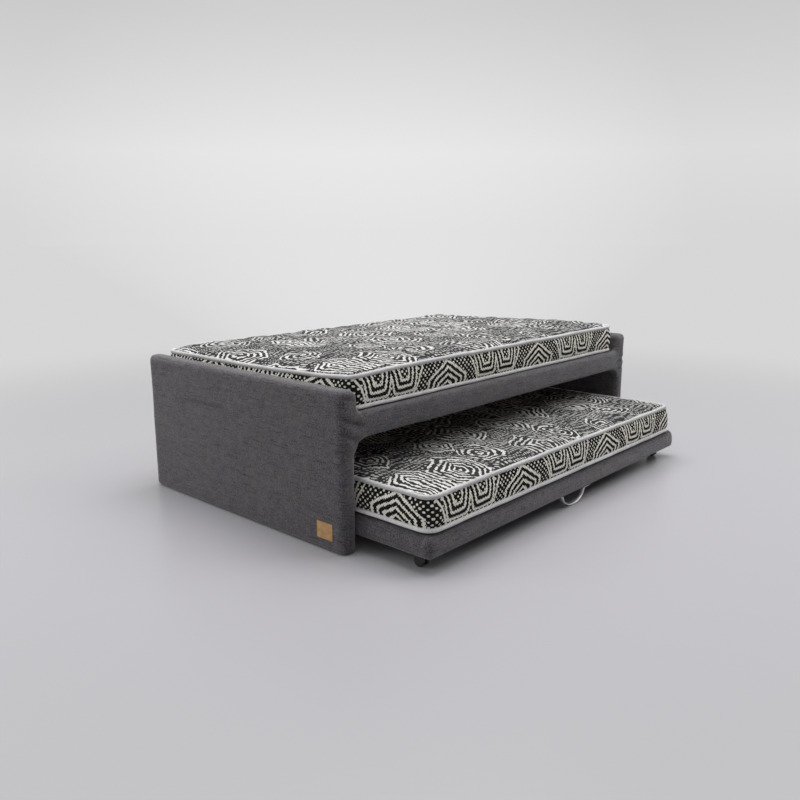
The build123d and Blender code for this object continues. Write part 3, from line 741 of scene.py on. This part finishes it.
def makeMattress(prefix, body, settle):
    look, seed, inset = mattressLook, settle["seed"], mattressLook["seamInset"]
    low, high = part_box(f"{prefix}_mattress_piping")
    shiftX, shiftY = settle["shift"]
    centre = ((low.x + high.x) / 2 + shiftX, (low.y + high.y) / 2 + shiftY)
    half = ((high.x - low.x) / 2 - inset, (high.y - low.y) / 2 - inset)
    seamLow = low.z + look["pipingRadius"] + settle["lift"]
    seamHigh = high.z - look["pipingRadius"]

    def topHeight(x, y, inside):
        rise = 1 - (1 - clamped(inside / look["shoulder"])) ** look["crownPower"]
        fade = smoothStep(inside, 0.0, look["puffFade"])
        lump = ripple(x * 5.5 + seed, y * 5.5, seed) + 0.5 * ripple(x * 13, y * 13 + seed, 4.0)
        puff = look["puff"] * quilting(x, y, look["quiltPitch"], seed)
        height = look["crown"] * rise + fade * (puff + look["lumps"] * lump)
        waver = look["waver"] * ripple(x * 6, y * 6, seed + 3.0)
        return seamHigh - sagging(x, y, half, settle) + height + waver

    def bottomHeight(x, y, inside):
        return low.z + 0.0005

    seamShare = (seamLow - low.z) / (seamHigh - low.z)
    # painted shade: the dark base cloth in the band below the seam stands for the shade under the
    # bottom piping
    profile = [(0.001, seamShare)]  # below it the dark base shows, above it the border
    for k in range(look["bulgeSteps"]):
        share = (k + 0.5) / look["bulgeSteps"]
        outward = look["bulge"] * (1 - abs(2 * share - 1) ** 3) - look["tuck"]
        profile.append((outward, seamShare + (1 - seamShare) * share))
    # the dark base cloth is a real dark underside, and under the bottom piping it is also painted
    # shade
    cloths = [clothBorder, clothTop, dustClothAndPaintedShade]
    piece, seam, lowSeam = paddedForm(
        f"{prefix}Mattress", centre, half, settle["cornerRadius"] - inset, profile,
        (topHeight, bottomHeight), look["step"], cloths, settle["flare"],
    )
    layer = piece.data.uv_layers["Cloth"].data
    whole = sum((following.xy - point.xy).length for point, following in around(seam))
    for face in piece.data.polygons:
        if face.material_index == 0:
            spots = [layer[corner] for corner in face.loop_indices]
            # the pattern meets itself at the back
            behind = max(spot.uv[0] for spot in spots) > whole / 2
            for spot in spots:
                spot.uv[0] += seam[0].x - settle["patternStart"] - (whole if behind else 0.0)
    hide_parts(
        *[f"{prefix}_mattress_{part}" for part in ("core", "border", "top_panel", "bottom_panel")],
    )
    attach(piece, body)

    def seamPoint(point, z, side):
        wave = look["seamWaver"] * ripple(point.x * 9, point.y * 9, side * 7.0 + seed)
        return Vector((point.x + wave, point.y + wave, z + 1.2 * wave))

    loops = [[seamPoint(p, p.z, 1) for p in seam], [seamPoint(p, seamLow, 0) for p in lowSeam]]
    piping = pipingRing(f"{prefix}Piping", loops, look["pipingRadius"])
    # painted light: the lower piping is marked to be painted paler, standing in for the light it
    # catches
    pale = piping.data.attributes.new("PaintedLightRun", "FLOAT", "POINT")
    middle = (seamLow + seamHigh) / 2
    pale.data.foreach_set("value", [float(v.co.z < middle) for v in piping.data.vertices])
    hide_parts(f"{prefix}_mattress_piping")
    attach(piping, body)
    print(prefix, "mattress made:", len(piece.data.polygons), "faces")


makeMattress("upper", "bed", upperSettle)
makeMattress("lower", "trundle", lowerSettle)


# frame upholstery
frameLook = {
    "panelRadius": 0.020, "panelFrontRadius": 0.026,
    "railRadius": 0.0125, "railReach": 0.030,
    "foot": 0.0058, "footSpare": 0.03, "gussetReach": 0.012,
    "shoulderWidth": 0.022, "shoulderHeight": 0.072,
    "shoulderFront": 0.002, "shoulderBack": 0.019,
    "voxel": 0.0075, "smoothing": 4,
    "stuffing": 0.0016, "frontDepth": 0.05,
    "railBelly": 0.003, "railHalf": 0.05, "railEnd": 0.08,
    "billow": 0.0018, "ruffle": 0.0006,
    "tagMargin": 0.022, "tagSink": 0.0006,
}


def roundedBlock(target, low, high, radius, cornerRadius):
    # upright edges are rounded first, then the rims of the top and bottom faces
    block = bmesh.new()
    for vert in bmesh.ops.create_cube(block, size=1.0)["verts"]:
        vert.co = vert.co * (high - low) + (high + low) / 2
    for upright, offset in ((True, cornerRadius), (False, radius)):
        edges = [
            edge for edge in block.edges
            if (abs(edge.verts[0].co.z - edge.verts[1].co.z) > 0.001) == upright
        ]
        settings = {"segments": 6, "profile": 0.5, "affect": "EDGES"}
        bmesh.ops.bevel(block, geom=edges, offset=offset, **settings)
    part = meshFrom(block, "block")
    target.from_mesh(part)
    bpy.data.meshes.remove(part)


def cutFoot(target, height):
    # flat underside where the cloth is turned in
    cut = bmesh.ops.bisect_plane(
        target, geom=target.verts[:] + target.edges[:] + target.faces[:],
        plane_co=(0, 0, height), plane_no=(0, 0, 1), clear_inner=True,
    )
    rim = [item for item in cut["geom_cut"] if isinstance(item, bmesh.types.BMEdge)]
    bmesh.ops.holes_fill(target, edges=rim, sides=0)


def filletBlock(target, wall, level, width, height, depth, arcSteps=12):
    # concave fill between a panel's inner face and the rail; the signs of width and height
    # say which way it goes from there
    reach = frameLook["gussetReach"]
    innerX, innerZ = wall - math.copysign(reach, width), level - math.copysign(reach, height)
    outline = [(innerX, innerZ), (innerX, level + height)]
    for k in range(arcSteps + 1):
        angle = math.pi / 2 * k / arcSteps
        x, z = wall + width * (1 - math.cos(angle)), level + height * (1 - math.sin(angle))
        outline.append((x, z))
    outline.append((wall + width, innerZ))
    front, back = [[target.verts.new((x, y, z)) for x, z in outline] for y in depth]
    faces = [target.faces.new(front), target.faces.new(back[::-1])]
    for (a, b), (c, d) in zip(around(front), around(back)):
        faces.append(target.faces.new((b, a, c, d)))
    bmesh.ops.recalc_face_normals(target, faces=faces)


def makeFrameUpholstery():
    # the covers as one skin, so that cloth runs on from the rails into the panels
    look = frameLook
    shell, reach = bmesh.new(), Vector((look["railReach"], 0, 0))
    for name in ("left_panel_cover", "right_panel_cover"):
        low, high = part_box(name)
        low = Vector((low.x, low.y, look["foot"] - look["footSpare"]))
        roundedBlock(shell, low, high, look["panelRadius"], look["panelFrontRadius"])
    cutFoot(shell, look["foot"])
    for name in ("front_rail_cover", "back_rail_cover"):
        low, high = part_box(name)
        roundedBlock(shell, low - reach, high + reach, look["railRadius"], look["railRadius"])
    railLow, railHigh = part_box("front_rail_cover")
    gussetLow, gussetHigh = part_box("corner_gussets")
    fall = railLow.z - gussetLow.z
    shoulder = (railLow.y - look["shoulderFront"], railLow.y + look["shoulderBack"])
    for wall, inward in ((gussetLow.x, 1), (gussetHigh.x, -1)):
        width = inward * look["shoulderWidth"]
        filletBlock(shell, wall, railLow.z, inward * fall, -fall, (railLow.y, railHigh.y))
        filletBlock(shell, wall, railHigh.z, width, look["shoulderHeight"], shoulder)
    piece = addPiece("frameUpholstery", meshFrom(shell, "frameUpholstery"))
    piece.data.materials.append(clothTweed)
    voxel = {"mode": "VOXEL", "voxel_size": look["voxel"], "use_smooth_shade": True}
    addModifier(piece, "skin", "REMESH", **voxel)
    addModifier(piece, "relax", "SMOOTH", factor=0.5, iterations=look["smoothing"])
    return bake(piece)


frameUpholstery = makeFrameUpholstery()

# creases on the front faces: start, bend and end as (x, z), then how deep and how wide
pullLines = [
    ((-1.030, 0.500), (-0.990, 0.474), (-0.930, 0.456), 0.0050, 0.010),
    ((-1.028, 0.441), (-0.992, 0.427), (-0.955, 0.404), 0.0045, 0.011),
    ((-1.028, 0.372), (-1.000, 0.366), (-0.975, 0.362), 0.0020, 0.012),
    ((-1.022, 0.566), (-1.000, 0.560), (-0.982, 0.563), 0.0030, 0.011),
    ((1.052, 0.470), (0.995, 0.453), (0.935, 0.449), 0.0042, 0.011),
    ((1.024, 0.418), (0.985, 0.414), (0.955, 0.410), 0.0040, 0.011),
]
# one more across the left panel's outer side, given as (y, z)
sideCrease = {"from": (0.17, 0.437), "to": (0.59, 0.431), "deep": 0.0028, "wide": 0.009}


def readVectors(vertices, name):
    values = np.zeros(len(vertices) * 3)
    vertices.foreach_get(name, values)
    return values.reshape(-1, 3)


def bell(distance):
    return np.exp(-(distance ** 2))


def nearTag(place):
    # 1 behind the tag, falling to 0 round it
    low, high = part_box("name_tag")
    middle, half = (low + high) / 2, (high - low) / 2
    off = [np.abs(place[:, axis] - middle[axis]) - half[axis] for axis in (1, 2)]
    near = np.clip(1 - np.maximum(*off) / frameLook["tagMargin"], 0, 1)
    return near * (place[:, 0] < high.x + 0.01)


def pullLine(place, points):
    # distance from the bent line, and how strong the pull is at its nearest point
    away, fade = np.full(len(place), 9.0), np.zeros(len(place))
    for t in np.linspace(0, 1, 25):
        x, z = np.array([(1 - t) ** 2, 2 * t * (1 - t), t * t]) @ np.array(points)
        gap = np.hypot(place[:, 0] - x, place[:, 2] - z)
        nearer = gap < away
        away = np.where(nearer, gap, away)
        fade = np.where(nearer, math.sin(math.pi * (0.12 + 0.8 * t)), fade)
    return away, fade


def tuckCloth(piece):
    look, mesh = frameLook, piece.data
    place, normal = readVectors(mesh.vertices, "co"), readVectors(mesh.vertices, "normal")
    broad = [ripple(x * 4.2, y * 4.2, z * 5.5) for x, y, z in place]
    fine = [ripple(x * 17, y * 17, z * 17) for x, y, z in place]
    shift = look["stuffing"] + look["billow"] * np.array(broad) + look["ruffle"] * np.array(fine)
    seat = nearTag(place)
    shift = shift * (1 - seat) - look["tagSink"] * seat
    railLow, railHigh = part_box("front_rail_cover")
    corner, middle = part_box("left_panel_cover")[0], (railLow.z + railHigh.z) / 2
    inFront = np.clip(1 - (place[:, 1] - corner.y) / look["frontDepth"], 0, 1)
    acrossRail = np.clip(1 - np.abs(place[:, 2] - middle) / look["railHalf"], 0, 1)
    alongRail = np.clip((railHigh.x - np.abs(place[:, 0])) / look["railEnd"], 0, 1)
    shift += look["railBelly"] * inFront * alongRail * np.sin(acrossRail * math.pi / 2)
    # the crease mask made here is painted shade, darkening the cloth's colour along each crease
    creaseShadeMask = np.zeros(len(place))
    for *points, deep, wide in pullLines:
        away, fade = pullLine(place, points)
        away, fade = away / wide, fade * inFront
        shift -= deep * (bell(away) - 0.45 * bell(away - 1.7)) * fade
        creaseShadeMask = np.maximum(creaseShadeMask, bell(away / 0.75) * fade * deep / 0.005)
    (startY, startZ), (endY, endZ) = sideCrease["from"], sideCrease["to"]
    share = (place[:, 1] - startY) / (endY - startY)
    away = np.abs(place[:, 2] - startZ - share * (endZ - startZ)) / sideCrease["wide"]
    onSide = np.abs(place[:, 0] - corner.x) < 0.012
    fade = np.clip(4 * np.minimum(share, 1 - share), 0, 1) * onSide
    shift -= sideCrease["deep"] * bell(away) * fade
    creaseShadeMask = np.maximum(creaseShadeMask, 0.5 * bell(away * 1.3) * fade)
    place += normal * shift[:, None]
    mesh.vertices.foreach_set("co", place.ravel())
    # kept on the mesh as painted shade for the tweed to read
    layer = mesh.attributes.new("PaintedCreaseShade", "FLOAT", "POINT")
    layer.data.foreach_set("value", creaseShadeMask)
    mesh.update()


tuckCloth(frameUpholstery)
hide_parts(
    "left_panel_cover", "right_panel_cover",
    "front_rail_cover", "back_rail_cover", "corner_gussets",
)
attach(frameUpholstery, "bed")
print("frame upholstery made:", len(frameUpholstery.data.polygons), "faces")


# trundle upholstery
slabLook = {
    "cornerRadius": 0.027, "topRadius": 0.022, "topDrop": 0.034, "bottomRadius": 0.014,
    "arcSteps": 6, "sideSteps": 8, "sideBelly": 0.0012, "billow": 0.0004,
    "hem": 0.016, "recess": 0.0016, "step": 0.02,
}


def makeTrundleUpholstery():
    look = slabLook
    low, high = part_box("trundle_cover")
    centre = ((low.x + high.x) / 2, (low.y + high.y) / 2)
    inset, lowRound, drop = look["topRadius"], look["bottomRadius"], look["topDrop"]
    half = ((high.x - low.x) / 2 - inset, (high.y - low.y) / 2 - inset)
    tall = high.z - low.z

    def topHeight(x, y, inside):
        return high.z - 0.0004 + look["billow"] * ripple(x * 6, y * 6, 2.0)

    def bottomHeight(x, y, inside):
        return low.z + look["recess"] * smoothStep(inside, look["hem"] - 0.004, look["hem"])

    turns = [math.pi / 2 * k / look["arcSteps"] for k in range(1, look["arcSteps"])]
    profile = [
        (inset - lowRound + lowRound * math.sin(turn), lowRound * (1 - math.cos(turn)) / tall)
        for turn in turns
    ]
    for share in np.linspace(0, 1, look["sideSteps"] + 1):
        height = lowRound + (tall - lowRound - drop) * share
        profile.append((inset + look["sideBelly"] * math.sin(math.pi * share), height / tall))
    for turn in turns:
        profile.append((inset * math.cos(turn), (tall - drop * (1 - math.sin(turn))) / tall))
    piece, _, _ = paddedForm(
        "trundleUpholstery", centre, half, look["cornerRadius"] - inset, profile,
        (topHeight, bottomHeight), look["step"], [clothTweed],
    )
    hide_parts("trundle_cover")
    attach(piece, "trundle")


makeTrundleUpholstery()
print("trundle upholstery made")


# name tag
tagLook = {"corner": 0.003, "cornerSteps": 5, "rim": 0.0007, "crown": 0.0001}


def makeNameTag():
    corner, rim, steps = tagLook["corner"], tagLook["rim"], tagLook["cornerSteps"]
    low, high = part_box("name_tag")
    middle, half = (low + high) / 2, (high - low) / 2
    outline = []
    for cy, cz, start in ((1, 1, 0), (-1, 1, 90), (-1, -1, 180), (1, -1, 270)):
        for k in range(steps + 1):
            angle = math.radians(start + 90 / steps * k)
            y = cy * (half.y - corner) + corner * math.cos(angle)
            outline.append((y, cz * (half.z - corner) + corner * math.sin(angle)))
    face = low.x - tagLook["crown"]
    rings = [(1.0, high.x), (1.0, low.x + rim)]
    rings += [(0.992, low.x + rim * 0.2), (0.97, low.x), (0.5, face)]
    vertices, spots = [], []
    for share, x in rings:
        for y, z in outline:
            vertices.append((x, middle.y + y * share, middle.z + z * share))
            spots.append((y * share / half.y, z * share / half.z))
    loops = countedLoops(len(rings), len(outline))
    faces = bands(loops)
    for x, loop in ((face, loops[-1]), (high.x, loops[0])):
        faces += [[a, b, len(vertices)] for a, b in around(loop)]
        vertices.append((x, middle.y, middle.z))
        spots.append((0, 0))
    tag = fixNormals(makePiece("nameTag", vertices, faces, [leather]))
    layer = tag.data.uv_layers.new(name="Cloth")
    for loop in tag.data.loops:
        layer.data[loop.index].uv = spots[loop.vertex_index]
    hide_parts("name_tag")
    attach(tag, "bed")


makeNameTag()


# pull handle
handleLook = {
    "metal": 0.003, "edge": 0.0008, "narrower": 0.0005,
    "toLeft": 0.014, "flat": 0.029, "bend": 0.004, "deeper": 0.003,
    "loopSteps": 36,
}


def makePullHandle():
    # a bent flat strap: two flats under the slab and a half round loop between them
    look = handleLook
    low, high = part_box("pull_handle")
    middle, centreY = (low.x + high.x) / 2 - look["toLeft"], (low.y + high.y) / 2
    loopHalf, drop = (high.x - low.x) / 2 - look["flat"], high.z - low.z + look["deeper"]
    halfMetal, halfWidth = look["metal"] / 2, (high.y - low.y) / 2 - look["narrower"]
    level, bend = high.z - halfMetal, loopHalf + look["bend"]
    path = [(low.x, level), (middle - bend, level)]
    for k in range(1, look["loopSteps"]):
        angle = math.pi * k / look["loopSteps"]
        x = middle - (loopHalf - halfMetal) * math.cos(angle)
        path.append((x, high.z - (drop - halfMetal) * math.sin(angle)))
    path += [(middle + bend, level), (high.x, level)]
    path = [Vector((x, centreY, z)) for x, z in path]
    softWidth, softMetal = halfWidth - look["edge"], halfMetal - look["edge"]
    quarter = [(halfWidth, softMetal), (softWidth, halfMetal)]
    section = [(-y, -off) for y, off in quarter] + [(y, -off) for y, off in quarter[::-1]]
    section += [(y, off) for y, off in quarter] + [(-y, off) for y, off in quarter[::-1]]
    vertices = []
    for k, point in enumerate(path):
        before, after = path[max(0, k - 1)], path[min(len(path) - 1, k + 1)]
        along = (after - before).normalized()
        side = Vector((-along.z, 0, along.x))
        vertices += [point + side * off + Vector((0, y, 0)) for y, off in section]
    loops = countedLoops(len(path), len(section))
    faces = bands(loops) + [loops[0], loops[-1]]
    handle = fixNormals(makePiece("pullHandle", vertices, faces, [brightMetal]))
    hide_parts("pull_handle")
    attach(handle, "trundle")


makePullHandle()


# finishes of the carried-over parts, by how their names begin; the fittings are zinc
finishes = [
    (glidePlastic, ("panel_glides",)),
    (board, ("left_panel_boards", "right_panel_boards", "trundle_deck")),
    (timberUpright, ("left_panel_frame", "right_panel_frame", "stretcher_cleats")),
    (timberAlongX, ("front_rail_core", "back_rail_core", "slat_bearers", "centre_beam")),
    (timberAlongX, ("back_stretcher", "trundle_long_rails")),
    (timberAlongY, ("deck_slats", "trundle_end_rails", "trundle_cross_rails")),
    (dustClothAndPaintedShade, ("dust_cloth",)),
    (blackPlastic, ("castor_bodies", "castor_wheels")),
    (darkSteel, ("castor_axle",)),
]
for nodeName, node in cadNodes.items():
    finish = next((material for material, names in finishes if nodeName.startswith(names)), zinc)
    for materialSlot in node.material_slots:
        materialSlot.material = finish
    if not node.material_slots:
        node.data.materials.append(finish)
print("finishes set")


# floor, backdrop, lights and camera
stageLook = {
    "floorColor": (0.444, 0.434, 0.459), "floorRoughness": 0.30, "floorHalf": 60,
    "farColor": (0.770, 0.770, 0.776), "fadeStart": 0.8, "fadeEnd": 5.0,
    "wallTones": {0.28: 0.815, 0.72: 0.675}, "wallTop": (0.62, 0.62, 0.62), "wallRise": 3.0,
    "glowTowards": (0.708, 0.706, 0.0), "glowFall": 1.5, "glowLeast": 0.88,
    "fill": 0.31, "fillLow": 0.5, "fillHigh": 1.5,
    "fillFrom": (-0.80, 0.60, 0.0), "fillFar": 0.50, "fillNear": 1.05,
}
softboxes = {  # where each one hangs, what it points at, its two sides and its power
    "overheadBox": ((0.1, 0.2, 4.8), (0.0, 0.0, 0.2), (3.8, 3.4), 219),
    "backLeftBox": ((-3.6, 2.2, 1.9), (-0.6, 0.2, 0.3), (2.4, 1.8), 36),
    "frontRightBox": ((2.3, -2.7, 3.9), (0.4, -0.4, 0.2), (2.6, 2.0), 64),
}


def buildGlowGroup(look):
    # brighter part of the backdrop, the same on the wall and the far floor
    group, source, sink = newGroup("backdropGlow", ["Glow"])
    towards = Vector(look["glowTowards"]).normalized()
    facing = vecCalc("DOT_PRODUCT", vecCalc("NORMALIZE", source["Vector"]), towards)
    feed(sink["Glow"], largest(1.0 - (1.0 - facing) * look["glowFall"], look["glowLeast"]))
    return group


def seenBy(tree, *rays):
    # 1 for the named kinds of ray, such as Is Camera Ray
    path = wiresOf(addNode(tree, "ShaderNodeLightPath"))
    seen = path[rays[0]]
    for ray in rays[1:]:
        seen = calc("ADD", seen, path[ray], clamp=True)
    return seen


def mixShader(factor, first, second):
    return wired(factor.tree, "ShaderNodeMixShader", {0: factor, 1: first, 2: second})


def makeFloor(look):
    material, shader, place = newMaterial(
        "paleFloor", look["floorColor"], look["floorRoughness"], Specular_IOR_Level=0.35,
    )
    tree = place.tree
    far = ease(vecCalc("LENGTH", place), look["fadeStart"], look["fadeEnd"])
    glow = useGroup(glowGroup, Vector=place)["Glow"]
    distant = wired(tree, "ShaderNodeEmission", {"Color": scaled(look["farColor"], glow)})
    seen = seenBy(tree, "Is Camera Ray", "Is Glossy Ray")
    surface = mixShader(far * seen, Wire(shader.outputs[0]), distant)
    # the underside can be looked at through the floor
    below = wired(tree, "ShaderNodeNewGeometry", output="Backfacing")
    clear = wired(tree, "ShaderNodeBsdfTransparent")
    surface = mixShader(below * seenBy(tree, "Is Camera Ray"), surface, clear)
    feed(tree.nodes["Material Output"].inputs["Surface"], surface)
    size = look["floorHalf"]
    corners = [(-size, -size, 0), (size, -size, 0), (size, size, 0), (-size, size, 0)]
    floor = makePiece("studioFloor", corners, [[0, 1, 2, 3]], [material], smooth=False)


def makeWorld(look):
    world = bpy.data.worlds.new("studio")
    world.use_nodes = True
    scene.world = world
    tree = world.node_tree
    tree.nodes.clear()
    direction = wired(tree, "ShaderNodeTexCoord", output="Generated")
    height = split(direction)[2]
    rise = calc("MULTIPLY", height, look["wallRise"], clamp=True)
    wall = addNode(tree, "ShaderNodeValToRGB", {0: rise})
    stops = wall.color_ramp.elements
    stops[0].color, stops[1].color = (*look["farColor"], 1), (*look["wallTop"], 1)
    for position, tone in look["wallTones"].items():
        stops.new(position).color = (tone, tone, tone, 1)
    glow = useGroup(glowGroup, Vector=direction)["Glow"]
    seenSky = wired(tree, "ShaderNodeBackground", {"Color": scaled(Wire(wall.outputs[0]), glow)})
    upward = ease(height, -0.05, 0.85, look["fillLow"], look["fillHigh"])
    aside = vecCalc("DOT_PRODUCT", direction, look["fillFrom"])
    sided = ease(aside, -0.9, 0.5, look["fillFar"], look["fillNear"])
    fill = {"Color": (1, 1, 1), "Strength": upward * sided * look["fill"]}
    lightSky = wired(tree, "ShaderNodeBackground", fill)
    seen = seenBy(tree, "Is Camera Ray", "Is Glossy Ray", "Is Transmission Ray")
    addNode(tree, "ShaderNodeOutputWorld", {"Surface": mixShader(seen, lightSky, seenSky)})


def addSoftbox(name, location, target, size, power):
    lamp = bpy.data.lights.new(name, "AREA")
    lamp.shape, lamp.energy = "RECTANGLE", power
    lamp.size, lamp.size_y = size
    box = addPiece(name, lamp)
    box.location = location
    aim = Vector(target) - Vector(location)
    box.rotation_euler = aim.to_track_quat("-Z", "Y").to_euler()
    box.visible_camera = False


glowGroup = buildGlowGroup(stageLook)
makeFloor(stageLook)
makeWorld(stageLook)
for boxName, settings in softboxes.items():
    addSoftbox(boxName, *settings)

viewLook = {"location": (-2.799, -2.300, 1.118), "turn": (77.78, 0, -47.96), "lens": 35.06}
camera = bpy.data.cameras.new("camera")
camera.lens = viewLook["lens"]
camera.sensor_width = 36
cameraObject = addPiece("camera", camera)
cameraObject.location = viewLook["location"]
cameraObject.rotation_euler = [math.radians(angle) for angle in viewLook["turn"]]
scene.camera = cameraObject
scene.view_settings.view_transform = "Standard"
print("stage, lights and camera set")
